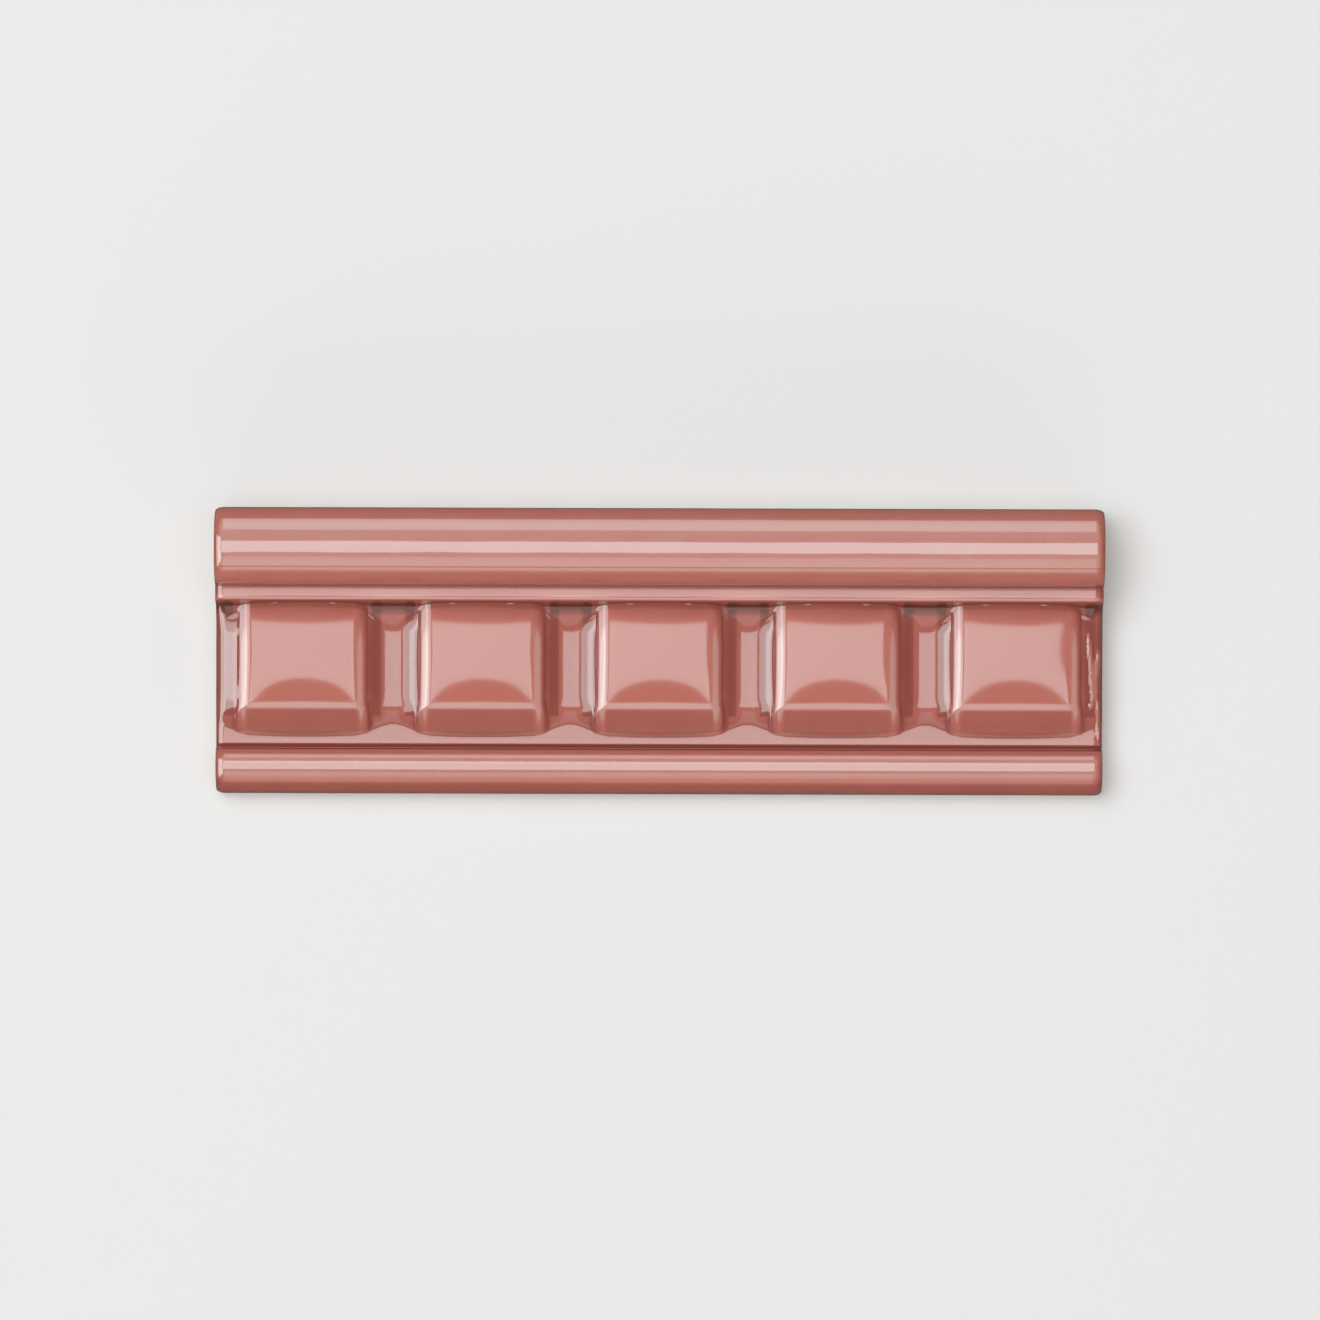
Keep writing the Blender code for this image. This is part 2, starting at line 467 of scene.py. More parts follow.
    def apron(self, x: Height, y: Height) -> Height:
        """Find how far the ledge's outer edge is drawn towards the foot beside the dentils.

        Args:
            x: Places along the tile.
            y: Distances from the foot edge.

        Returns:
            The shift across the tile, 0 in the middle of a pocket.
        """
        out = np.maximum(self.off_middle(x)[1], self.apron_start)
        shift = joined_high((self.apron_end - out) * self.apron_slant, np.zeros_like(out), self.apron_joint)
        return shift * eased(y, self.apron_fade, self.bevel_top)

    def side_drop(self, out: Height) -> Height:
        """Give how far a dentil's side lies below its face.

        Args:
            out: Distances from the dentil's middle, as its sides see them.

        Returns:
            The drops, 0 on the face.
        """
        slope = (out - self.side_top) * math.tan(self.side_tilt)
        on_slope = joined_high(np.zeros_like(out), slope, self.side_rounding)
        riser = (self.riser_top - self.side_top) * math.tan(self.side_tilt)
        riser = riser + (out - self.riser_top) * math.tan(self.riser_tilt)
        return joined_high(on_slope, riser, self.riser_rounding)

    def scooped(self, from_middle: Height, out: Height, y: Height) -> Height:
        """Give how far a pocket's floor curves up to the dentils beside it.

        Args:
            from_middle: Distances from the nearest dentil's middle.
            out: The same distances, as the dentil's sides see them.
            y: Distances from the foot edge.

        Returns:
            The rises, 0 in the middle of a pocket.
        """
        off_pocket = self.pitch / 2 - np.abs(from_middle)
        at_end = np.abs(from_middle) > out
        rise = np.where(at_end, self.end_slope * off_pocket, self.scoop_curve * off_pocket**2)
        rise *= eased(y, self.scoop_foot, self.scoop_full) * eased(y, self.scoop_head, self.scoop_thin)
        return rise * eased(out, self.side_top - self.scoop_edge, self.side_top)

    def joint(self, sideways: Height) -> Height:
        """Give the depth of the fillet where a dentil meets the ground.

        Args:
            sideways: How far a place is on a dentil's side and not on its bevel, from 0 to 1.

        Returns:
            The depths, which are greatest at the corner between the two.
        """
        along_side = (self.side_joint - self.crisp_joint) * sideways**self.joint_power
        return self.crisp_joint + along_side + self.corner_joint * 4 * sideways * (1 - sideways)

    def press(self, x: Height, y: Height, ground: Height) -> Height:
        """Raise the dentils out of the plain section.

        Args:
            x: Places along the tile.
            y: Distances from the foot edge.
            ground: Heights of the plain section there.

        Returns:
            Heights with the dentils on them.
        """
        from_middle, out = self.off_middle(x)
        face = self.face_height(from_middle, np.maximum(y, self.bevel_top))
        off_side = self.side_drop(out)
        bevel = (self.bevel_top - y) * math.tan(self.bevel_tilt)
        off_bevel = joined_high(np.zeros_like(out), bevel, self.bevel_rounding)
        power = self.corner_power
        drop = (off_side**power + off_bevel**power) ** (1 / power)
        sideways = off_side**2 / (off_side**2 + off_bevel**2 + self.flat_drop**2)
        before_wall = y < self.mouldings.pocket_head - self.wall_reach
        floor = np.where(before_wall, ground, self.mouldings.pocket_rise(y))
        floor = np.maximum(ground, floor + self.scooped(from_middle, out, y))
        return joined_high(floor, face - drop, self.joint(sideways))


@dataclass(frozen=True)
class Drip:
    """A run of glaze that set, a ragged oval in plan.

    Attributes:
        x: Its middle along the tile.
        y: Its middle from the foot edge.
        half_width: Its half extent along the tile.
        half_length: Its half extent across the tile.
        lean: How far it leans to +X for each metre towards the head.
        rise: How far it stands out of the face.
    """

    x: float
    y: float
    half_width: float
    half_length: float
    lean: float = 0.0
    rise: float = 0.3 * MM
    crown: ClassVar[float] = 0.3
    coarse_wave: ClassVar[float] = 0.16
    coarse_count: ClassVar[float] = 9.0
    coarse_slant: ClassVar[float] = 4.0
    fine_wave: ClassVar[float] = 0.1
    fine_count: ClassVar[float] = 21.0

    def cover(self, x: Height, y: Height) -> Height:
        """Find the places that it covers.

        Args:
            x: Places along the tile.
            y: Distances from the foot edge.

        Returns:
            1 on its crown and 0 outside it.
        """
        along = (x - self.x - self.lean * (y - self.y)) / self.half_width
        across = (y - self.y) / self.half_length
        coarse = self.coarse_wave * np.sin(self.coarse_count * across + self.coarse_slant * along)
        ragged = 1 + coarse + self.fine_wave * np.sin(self.fine_count * across)
        return eased((along**2 + across**2) * ragged, 1.0, self.crown)


@dataclass
class Ends:
    """How the face rolls over at both ends, and how the tile's plan corners are rounded."""

    roll: float = 1.7 * MM
    plan_radius: float = 0.7 * MM
    reach: float = 4.0 * MM
    steps: int = 10

    def columns(self, length: float) -> list[float]:
        """List the grid's columns over both rolls.

        Args:
            length: The tile's length.

        Returns:
            Their places along X, in order.
        """
        angles = [math.pi / 2 * step / self.steps for step in range(self.steps + 1)]
        offsets = [length / 2 - self.roll * (1 - math.sin(angle)) for angle in angles]
        return sorted([-x for x in offsets] + offsets)

    def round_over(self, place: np.ndarray, length: float, width: float) -> None:
        """Roll the face over, in place.

        Args:
            place: Vertex positions, with Y measured from the tile's middle.
            length: The tile's length.
            width: The tile's width.
        """
        into_roll = np.clip((np.abs(place[:, 0]) - length / 2) / self.roll + 1, 0.0, 1.0)
        sag = 1 - np.sqrt(np.maximum(1 - into_roll**2, 0.0))
        place[:, 2] -= self.roll * sag
        beside = eased(np.abs(place[:, 1]), width / 2 - self.reach, width / 2)
        place[:, 1] -= np.sign(place[:, 1]) * self.plan_radius * sag * beside


@dataclass(frozen=True)
class Waves:
    """Two sets of waves that cross and bend each other. Lengths are for one radian.

    Attributes:
        along: Length of the waves that follow each other along the tile.
        along_bend: How far they are bent, in radians.
        along_bend_length: Length of their bends.
        along_start: Where their bends start, in radians.
        across: Length of the waves that follow each other across the tile.
        across_bend: How far they are bent, in radians.
        across_bend_length: Length of their bends.
        height: Height of a crest above the middle.
    """

    along: float
    along_bend: float
    along_bend_length: float
    along_start: float
    across: float
    across_bend: float
    across_bend_length: float
    height: float

    def heights(self, x: np.ndarray, y: np.ndarray) -> np.ndarray:
        """Give the waves' heights at places along and across the tile."""
        bend = self.along_bend * np.sin(y / self.along_bend_length + self.along_start)
        other_bend = self.across_bend * np.sin(x / self.across_bend_length)
        return self.height * np.sin(x / self.along + bend) * np.sin(y / self.across + other_bend)


@dataclass
class GlazeFlow:
    """How the glaze ran in the kiln: thin on crests, deep in hollows, with runs at one end. Its depth also
    paints light on crests, arrises and drips, and shade in hollows, creases, slopes and along the foot
    edge.
    """

    raster: float = 0.25 * MM
    margin: float = 6.0 * MM
    near: float = 0.5 * MM
    far: float = 2.9 * MM
    near_gain: float = 1.2
    far_gain: float = 0.9
    even: float = 0.5
    deepest_and_shaded: float = 0.8
    depth_limit: float = 1.5
    # Painted shade on the outer slope of the foot edge.
    foot_shade_gain: float = 0.25
    foot_reach: float = 3.4 * MM
    pool_and_shade_gain: float = 0.58
    # Painted shade on steep slopes.
    slope_shade: float = 0.42
    slope_start: float = 0.04
    slope_full: float = 0.30
    thin_enough: float = 0.3
    deep_enough: float = 1.0
    band_edge: float = 0.3 * MM
    kernel_reaches: float = 3.0
    edge_margin: float = 2.0 * MM
    crest_margin: float = 0.2 * MM
    slow_waves: Waves = Waves(7.1 * MM, 1.3, 6.3 * MM, 0.4, 5.2 * MM, 0.9, 9.7 * MM, 0.012 * MM)
    quick_waves: Waves = Waves(2.9 * MM, 2.0, 4.1 * MM, 0.0, 2.3 * MM, 1.1, 3.7 * MM, 0.003 * MM)
    # The drips are lightened, partly as thin glaze and partly as a painted highlight.
    drip_thin_and_highlight: float = 0.75
    drips: tuple[Drip, ...] = (
        Drip(73.85 * MM, 24.2 * MM, 0.5 * MM, 4.4 * MM, -0.07),
        Drip(75.1 * MM, 22.2 * MM, 0.55 * MM, 3.4 * MM, 0.10),
        Drip(74.45 * MM, 19.6 * MM, 0.85 * MM, 4.6 * MM, -0.04),
        Drip(74.1 * MM, 15.5 * MM, 0.5 * MM, 0.9 * MM),
        Drip(75.2 * MM, 13.4 * MM, 0.4 * MM, 4.9 * MM, -0.05),
    )

    def add_drips(self, place: np.ndarray, half_width: float) -> None:
        """Raise the drips out of the face, in place."""
        covers = [drip.rise * drip.cover(place[:, 0], place[:, 1] + half_width) for drip in self.drips]
        place[:, 2] += np.maximum.reduce(covers)

    def dripped(self, x: Height, y: Height) -> Height:
        """Find where the drips lie, from 0 to 1."""
        return np.maximum.reduce([drip.cover(x, y) for drip in self.drips])

    def blurred(self, height: Height, reach: float) -> Height:
        """Blur a height raster.

        Args:
            height: The raster's heights.
            reach: The blur's standard deviation.

        Returns:
            The blurred heights.
        """
        half = math.ceil(self.kernel_reaches * reach / self.raster)
        offset = np.arange(-half, half + 1) * self.raster
        kernel = np.exp(-(offset**2) / (2 * reach**2))
        kernel /= kernel.sum()
        for axis in (0, 1):
            pad = [(half, half) if axis == other else (0, 0) for other in (0, 1)]
            padded = np.pad(height, pad, mode="edge")
            height = np.apply_along_axis(np.convolve, axis, padded, kernel, "valid")
        return height

    def depth(self, y: np.ndarray, height: Height, rolls: Height) -> Height:
        """Find how deep the glaze lies over a height raster. The same depth paints light on crests and
        shade in hollows.

        Args:
            y: The raster's places across the tile.
            height: Heights, one row for each place along the tile.
            rolls: How far each place is on a roll and not between the two, from 0 to 1.

        Returns:
            Depths from about 0 on thin, lighter crests to 1 in deep, shaded hollows.
        """
        # Hollows deepen the glaze and crests thin it. Besides real pooling, this darkens hollows as painted
        # shade and lightens crests as painted light.
        near = self.near_gain * (self.blurred(height, self.near) - height) / self.near
        far = self.far_gain * (self.blurred(height, self.far) - height) / self.far * rolls
        # Painted shade: the glaze darkens towards the foot edge.
        from_foot = y - (y[0] + self.margin)
        foot = self.foot_shade_gain * eased(from_foot, self.foot_reach, self.foot_reach / 2)
        return np.clip(self.even + near + far, 0.0, self.deepest_and_shaded) + foot

    def wander(self, place: np.ndarray) -> np.ndarray:
        """Give the slow wobble that firing leaves in the surface."""
        x, y = place[:, 0], place[:, 1]
        return self.slow_waves.heights(x, y) + self.quick_waves.heights(x, y)

    def shaded_on_slopes(self, depth: np.ndarray, upright: np.ndarray) -> np.ndarray:
        """Add the glaze that hangs on a slope, where it doesn't lie deep already.

        Args:
            depth: The glaze's depths.
            upright: The surface's normals along Z.

        Returns:
            The depths with the painted slope shade.
        """
        slope = eased(1 - upright, self.slope_start, self.slope_full)
        # Painted shade: steep slopes get deeper, darker glaze.
        hung = self.slope_shade * slope * eased(depth, self.deep_enough, self.thin_enough)
        return np.clip(depth + hung, 0.0, self.depth_limit)


@dataclass(frozen=True)
class Glaze:
    """The transparent pink glaze over the pale biscuit. Each ramp runs between two glaze depths. Because
    the depth carries painted light and shade, thin also paints light on crests and arrises, and deep and
    deepest paint shade in hollows, creases, corners and on slopes.
    """

    thin: tuple[float, float, float] = (0.53, 0.235, 0.195)
    even: tuple[float, float, float] = (0.425, 0.114, 0.086)
    deep: tuple[float, float, float] = (0.24, 0.058, 0.044)
    # Painted shade: a colour darker than deep glaze, for the darkest corners and walls.
    deepest_and_shaded: tuple[float, float, float] = (0.10, 0.028, 0.019)
    roughness: float = 0.1
    deep_roughness: float = 0.12
    coat_roughness: float = 0.06
    thick_coat: float = 0.25
    thin_coat: float = 0.85
    ior: float = 1.52
    thin_ramp: tuple[float, float] = (0.05, 0.5)
    deep_ramp: tuple[float, float] = (0.5, 1.0)
    deepest_ramp: tuple[float, float] = (1.0, 1.5)
    dull_ramp: tuple[float, float] = (0.6, 1.0)
    coat_ramp: tuple[float, float] = (0.2, 0.5)
    mottle: float = 0.10
    cloud_scale: float = 140.0
    cloud_detail: float = 3.0
    speck_scale: float = 2300.0
    speck_detail: float = 1.0
    ripple_scale: float = 330.0
    ripple_detail: float = 2.0
    ripple: float = 0.006 * MM
    line_edge: float = 0.15 * MM


@dataclass(frozen=True)
class Biscuit:
    """The bare fired clay of the back and of the foot of the sides."""

    pale: tuple[float, float, float] = (0.71, 0.60, 0.49)
    dark: tuple[float, float, float] = (0.56, 0.45, 0.35)
    roughness: float = 0.88
    line: float = 2.6 * MM
    line_wander: float = 3.6 * MM
    line_scale: float = 120.0
    line_detail: float = 3.0
    contrast: tuple[float, float] = (0.38, 0.62)
    cloud_scale: float = 90.0
    cloud_detail: float = 4.0
    cloud_share: float = 0.6
    grit_scale: float = 2600.0
    grit_detail: float = 3.0
    grit: float = 0.05 * MM


class Nodes:
    """Adds and joins the nodes of one node tree."""

    first_colour = 6
    second_colour = 7
    mixed_colour = 2

    def __init__(self, tree: bpy.types.NodeTree) -> None:
        """Work in a tree."""
        self.tree = tree

    def add(self, kind: str, settings: dict | None = None, **inputs: object) -> Node:
        """Add a node.

        Args:
            kind: The node's type name.
            settings: Its properties.
            **inputs: Values or sockets for its inputs, named with _ for each space.

        Returns:
            The node.
        """
        node = self.tree.nodes.new(kind)
        for name, value in (settings or {}).items():
            setattr(node, name, value)
        for name, value in inputs.items():
            self.feed(node, name.replace("_", " "), value)
        return node

    def feed(self, node: Node, name: str | int, value: object) -> None:
        """Set an input to a value, or link it to a socket."""
        socket = node.inputs[name]
        if isinstance(value, Socket):
            self.tree.links.new(value, socket)
        else:
            socket.default_value = value

    def math(self, operation: str, *values: object) -> Socket:
        """Put values or sockets through a sum.

        Args:
            operation: The sum's name.
            *values: The values or sockets.

        Returns:
            The result.
        """
        node = self.add("ShaderNodeMath", {"operation": operation})
        for index, value in enumerate(values):
            self.feed(node, index, value)
        return node.outputs[0]

    def noise(self, place: Socket, scale: float, detail: float) -> Socket:
        """Read smooth noise that repeats scale times a metre."""
        return self.add("ShaderNodeTexNoise", None, Vector=place, Scale=scale, Detail=detail).outputs["Fac"]

    def swing(self, place: Socket, scale: float, detail: float, span: float) -> Socket:
        """Read smooth noise that swings about 0, over a span."""
        return self.math("MULTIPLY", self.math("SUBTRACT", self.noise(place, scale, detail), 0.5), span)

    def ramp(self, value: Socket, low: float, high: float) -> Socket:
        """Turn a value into a mask that goes smoothly from 0 at low to 1 at high."""
        settings = {"interpolation_type": "SMOOTHSTEP"}
        node = self.add("ShaderNodeMapRange", settings, Value=value, From_Min=low, From_Max=high)
        return node.outputs["Result"]

    def mix(self, share: object, first: object, second: object) -> Socket:
        """Mix two colours.

        Args:
            share: How much of the second there is, from 0 to 1.
            first: The first colour.
            second: The second colour.

        Returns:
            The mixed colour.
        """
        node = self.add("ShaderNodeMix", {"data_type": "RGBA"}, Factor=share)
        self.feed(node, self.first_colour, first)
        self.feed(node, self.second_colour, second)
        return node.outputs[self.mixed_colour]


def opaque(colour: tuple[float, float, float]) -> tuple[float, float, float, float]:
    """Add full alpha to a colour."""
    return (*colour, 1.0)


class BiscuitGrain:
    """A shader node group: the colour and height of bare fired clay."""

    name = "biscuit_grain"

    @classmethod
    def group(cls, biscuit: Biscuit) -> bpy.types.NodeTree:
        """Make the group, or give the one already made.

        Args:
            biscuit: The clay's look.

        Returns:
            The node group, with outputs Color and Height.
        """
        made = bpy.data.node_groups.get(cls.name)
        if made:
            return made
        tree = bpy.data.node_groups.new(cls.name, "ShaderNodeTree")
        tree.interface.new_socket("Pale", in_out="INPUT", socket_type="NodeSocketColor")
        tree.interface.new_socket("Dark", in_out="INPUT", socket_type="NodeSocketColor")
        tree.interface.new_socket("Color", in_out="OUTPUT", socket_type="NodeSocketColor")
        tree.interface.new_socket("Height", in_out="OUTPUT", socket_type="NodeSocketFloat")
        nodes = Nodes(tree)
        given = nodes.add("NodeGroupInput")
        place = nodes.add("ShaderNodeTexCoord").outputs["Object"]
        cloud = nodes.noise(place, biscuit.cloud_scale, biscuit.cloud_detail)
        grit = nodes.noise(place, biscuit.grit_scale, biscuit.grit_detail)
        clouded = nodes.math("MULTIPLY", cloud, biscuit.cloud_share)
        share = nodes.math("ADD", clouded, nodes.math("MULTIPLY", grit, 1 - biscuit.cloud_share))
        pale = nodes.ramp(share, *biscuit.contrast)
        colour = nodes.mix(pale, given.outputs["Dark"], given.outputs["Pale"])
        result = nodes.add("NodeGroupOutput")
        nodes.feed(result, "Color", colour)
        nodes.feed(result, "Height", grit)
        return tree


class TileFinish:
    """The materials of the tile: glaze on its face and sides, bare biscuit on its back."""

    def __init__(self, glaze: Glaze, biscuit: Biscuit) -> None:
        """Keep the two finishes."""
        self.glaze = glaze
        self.biscuit = biscuit

    def start(self, name: str) -> tuple[Nodes, bpy.types.Material, Node]:
        """Start a material.

        Args:
            name: The material's name.

        Returns:
            Its nodes, the material and its shader.
        """
        material = bpy.data.materials.new(name)
        material.use_nodes = True
        return Nodes(material.node_tree), material, material.node_tree.nodes["Principled BSDF"]

    def clay(self, nodes: Nodes) -> Node:
        """Place the biscuit's grain in a material.

        Args:
            nodes: The material's nodes.

        Returns:
            The grain's node.
        """
        node = nodes.add("ShaderNodeGroup", {"node_tree": BiscuitGrain.group(self.biscuit)})
        nodes.feed(node, "Pale", opaque(self.biscuit.pale))
        nodes.feed(node, "Dark", opaque(self.biscuit.dark))
        return node

    def depth(self, nodes: Nodes) -> Socket:
        """Read how deep the glaze lies, with the light and shade painted into that depth."""
        return nodes.add("ShaderNodeAttribute", {"attribute_name": GLAZE_DEPTH_AND_SHADE}).outputs["Fac"]

    def glaze_colour(self, nodes: Nodes, place: Socket) -> Socket:
        """Colour the glaze by its depth, which also paints light on crests and shade in hollows, with faint
        mottling.

        Args:
            nodes: The material's nodes.
            place: Object coordinates.

        Returns:
            The colour.
        """
        look = self.glaze
        cloud = nodes.swing(place, look.cloud_scale, look.cloud_detail, look.mottle)
        speck = nodes.swing(place, look.speck_scale, look.speck_detail, look.mottle)
        depth = nodes.math("ADD", nodes.math("ADD", self.depth(nodes), cloud), speck)
        thin_side = nodes.mix(nodes.ramp(depth, *look.thin_ramp), opaque(look.thin), opaque(look.even))
        deepest_and_shaded = nodes.ramp(depth, *look.deepest_ramp)
        deep_side = nodes.mix(deepest_and_shaded, opaque(look.deep), opaque(look.deepest_and_shaded))
        return nodes.mix(nodes.ramp(depth, *look.deep_ramp), thin_side, deep_side)

    def coated(self, nodes: Nodes, place: Socket) -> Socket:
        """Mask the glaze, which stops at an uneven line near the foot of the sides.

        Args:
            nodes: The material's nodes.
            place: Object coordinates.

        Returns:
            1 on the glaze and 0 below the line.
        """
        height = nodes.add("ShaderNodeSeparateXYZ", None, Vector=place).outputs["Z"]
        clay, edge = self.biscuit, self.glaze.line_edge
        wander = nodes.swing(place, clay.line_scale, clay.line_detail, clay.line_wander)
        return nodes.ramp(nodes.math("ADD", height, wander), clay.line - edge, clay.line + edge)

    def dullness(self, nodes: Nodes, coated: Socket) -> Socket:
        """Make the biscuit rough and the glaze smooth, a little less so where it is deep.

        Args:
            nodes: The material's nodes.
            coated: Where the glaze is.

        Returns:
            The roughness.
        """
        deep = nodes.ramp(self.depth(nodes), *self.glaze.dull_ramp)
        dulled = nodes.math("MULTIPLY", deep, self.glaze.deep_roughness - self.glaze.roughness)
        dulled = nodes.math("ADD", dulled, self.glaze.roughness - self.biscuit.roughness)
        return nodes.math("ADD", nodes.math("MULTIPLY", coated, dulled), self.biscuit.roughness)

    def coat(self, nodes: Nodes, coated: Socket) -> Socket:
        """Give the glaze its sheen, which is strongest where it is thin.

        Args:
            nodes: The material's nodes.
            coated: Where the glaze is.

        Returns:
            The coat's weight.
        """
        thick = nodes.ramp(self.depth(nodes), *self.glaze.coat_ramp)
        spared = nodes.math("MULTIPLY", thick, self.glaze.thick_coat - self.glaze.thin_coat)
        return nodes.math("MULTIPLY", nodes.math("ADD", spared, self.glaze.thin_coat), coated)

    def raise_surface(self, nodes: Nodes, shader: Node, relief: Socket) -> None:
        """Bump a material's surface by a relief in metres."""
        bump = nodes.add("ShaderNodeBump", None, Height=relief, Distance=1.0)
        nodes.feed(shader, "Normal", bump.outputs["Normal"])

    def glazed(self) -> bpy.types.Material:
        """Make the glaze, with the bare biscuit below its line.

        Returns:
            The material.
        """
        look = self.glaze
        nodes, material, shader = self.start("pink_glaze")
        place = nodes.add("ShaderNodeTexCoord").outputs["Object"]
        coated = self.coated(nodes, place)
        clay = self.clay(nodes)
        colour = nodes.mix(coated, clay.outputs["Color"], self.glaze_colour(nodes, place))
        nodes.feed(shader, "Base Color", colour)
        nodes.feed(shader, "Roughness", self.dullness(nodes, coated))
        nodes.feed(shader, "Coat Weight", self.coat(nodes, coated))
        shader.inputs["Coat Roughness"].default_value = look.coat_roughness
        shader.inputs["Coat IOR"].default_value = look.ior
        shader.inputs["IOR"].default_value = look.ior
        noise = nodes.noise(place, look.ripple_scale, look.ripple_detail)
        ripple = nodes.math("MULTIPLY", noise, look.ripple)
        grit = nodes.math("MULTIPLY", clay.outputs["Height"], self.biscuit.grit)
        bare = nodes.math("SUBTRACT", 1.0, coated)
        self.raise_surface(nodes, shader, nodes.math("ADD", ripple, nodes.math("MULTIPLY", grit, bare)))
        return material

    def bare(self) -> bpy.types.Material:
        """Make the bare biscuit of the back.

        Returns:
            The material.
        """
        nodes, material, shader = self.start("bare_biscuit")
        clay = self.clay(nodes)
        nodes.feed(shader, "Base Color", clay.outputs["Color"])
        shader.inputs["Roughness"].default_value = self.biscuit.roughness
        self.raise_surface(nodes, shader, nodes.math("MULTIPLY", clay.outputs["Height"], self.biscuit.grit))
        return material


def read_points(mesh: bpy.types.Mesh, name: str) -> np.ndarray:
    """Read a property of a mesh's points.

    Args:
        mesh: The mesh.
        name: The property's name.

    Returns:
        One row of X, Y and Z for each point.
    """
    values = np.empty(len(mesh.vertices) * 3)
    mesh.vertices.foreach_get(name, values)
    return values.reshape(-1, 3)


@dataclass
class MouldingTile:
    """The whole tile, pressed and fired as one piece."""

    length: float
    width: float
    height: float
    back_arris: float = 0.5 * MM
    sharp_from: float = math.radians(26)
    ends: Ends = field(default_factory=Ends)
    flow: GlazeFlow = field(default_factory=GlazeFlow)

    def __post_init__(self) -> None:
        """Size the mouldings and the dentils to the tile."""
        self.mouldings = Mouldings(self.width, self.height)
        self.dentils = DentilRow(self.length, self.mouldings)

    def stations(self) -> list[float]:
        """List the grid's columns over the whole face.

        Returns:
            Their places along X, in order.
        """
        rolls = self.ends.columns(self.length)
        inner = self.length / 2 - self.ends.roll - self.dentils.wall_step / 2
        return sorted([x for x in self.dentils.columns() if abs(x) < inner] + rolls)

    def sheet(self) -> bmesh.types.BMesh:
        """Lay a flat grid over the section.

        Returns:
            The sheet, with a row for each of the section's points and a column for each station.
        """
        section = self.mouldings.section()
        stations = np.array(self.stations())
        bm = bmesh.new()
        rows, columns = len(section) - 1, len(stations) - 1
        half = 0.5
        bmesh.ops.create_grid(bm, x_segments=columns, y_segments=rows, size=half)
        for vert in bm.verts:
            y, z = section[round((vert.co.y + half) * rows)]
            vert.co = (stations[round((vert.co.x + half) * columns)], y - self.width / 2, z)
        return bm

    def relief(self, x: np.ndarray, from_foot: np.ndarray, ground: Height) -> Height:
        """Press the band between the two quirks.

        Args:
            x: Places along the tile.
            from_foot: Distances from the foot edge.
            ground: Heights of the plain section there.

        Returns:
            The face's heights.
        """
        band_start = self.mouldings.ledge_start + self.mouldings.ledge_inner_radius
        band_end = self.mouldings.torus_start - self.mouldings.astragal_width / 2
        in_band = (from_foot > band_start) & (from_foot < band_end)
        section = self.mouldings.section()
        drawn = np.interp(from_foot + self.dentils.apron(x, from_foot), section[:, 0], section[:, 1])
        ground = np.where(in_band & (from_foot < self.dentils.apron_fade), drawn, ground)
        return np.where(in_band, self.dentils.press(x, from_foot, ground), ground)

    def shape(self, bm: bmesh.types.BMesh) -> None:
        """Press the dentils into the sheet and roll its ends over.

        Args:
            bm: The sheet.
        """
        place = np.array([vert.co for vert in bm.verts])
        from_foot = place[:, 1] + self.width / 2
        place[:, 2] = self.relief(place[:, 0], from_foot, place[:, 2])
        self.ends.round_over(place, self.length, self.width)
        inside = eased(self.width / 2 - np.abs(place[:, 1]), 0.0, self.flow.edge_margin)
        below_crest = eased(self.height - place[:, 2], 0.0, self.flow.crest_margin)
        place[:, 2] += self.flow.wander(place) * inside * below_crest
        self.flow.add_drips(place, self.width / 2)
        for vert, new in zip(bm.verts, place):
            vert.co = new

    def close(self, bm: bmesh.types.BMesh) -> list[bmesh.types.BMFace]:
        """Carry the face's rim down to the back, and close it.

        Args:
            bm: The face's sheet.

        Returns:
            The faces of the back.
        """
        rim = [edge for edge in bm.edges if edge.is_boundary]
        face_rim = set(rim)
        for height, inset in ((self.back_arris, 0.0), (0.0, self.back_arris)):
            grown = bmesh.ops.extrude_edge_only(bm, edges=rim)["geom"]
            rim = [part for part in grown if isinstance(part, bmesh.types.BMEdge)]
            for vert in (part for part in grown if isinstance(part, bmesh.types.BMVert)):
                vert.co.x *= 1 - 2 * inset / self.length
                vert.co.y *= 1 - 2 * inset / self.width
                vert.co.z = height
        back = bmesh.ops.contextual_create(bm, geom=rim)["faces"]
        bmesh.ops.recalc_face_normals(bm, faces=bm.faces)
        for edge in bm.edges:
            edge.smooth = edge not in face_rim and edge.calc_face_angle(0.0) < self.sharp_from
        return back

    def glaze_and_shade_raster(self, x: np.ndarray, y: np.ndarray) -> Height:
        """Find how deep the glaze lies over the face, with painted light and shade in it.

        Args:
            x: The raster's places along the tile, from its middle.
            y: Its places across the tile, from its middle.

        Returns:
            Depths, one row for each place along the tile.
        """
        flow, dentils, section = self.flow, self.dentils, self.mouldings.section()
        from_foot = np.clip(y, -self.width / 2, self.width / 2) + self.width / 2
        ground = np.tile(np.interp(from_foot, section[:, 0], section[:, 1]), (len(x), 1))
        along, across = np.meshgrid(x, from_foot, indexing="ij")
        band_start, band_end = self.mouldings.ledge_start, dentils.pool_end
        off_band = np.abs(across - (band_start + band_end) / 2)
        half_band = (band_end - band_start) / 2
        rolls = eased(off_band, half_band - flow.band_edge, half_band + flow.band_edge)
        depth = flow.depth(y, self.relief(along, across, ground), rolls)
        # Painted shade deepens the glaze on the dentils' walls, pocket heads, corners and creases. A
        # painted highlight thins it along the arrises. Both go beyond the real pooling and thinning.
        depth += flow.pool_and_shade_gain * dentils.pooled_and_shaded(along, across) - dentils.thinned_and_highlit(along, across)
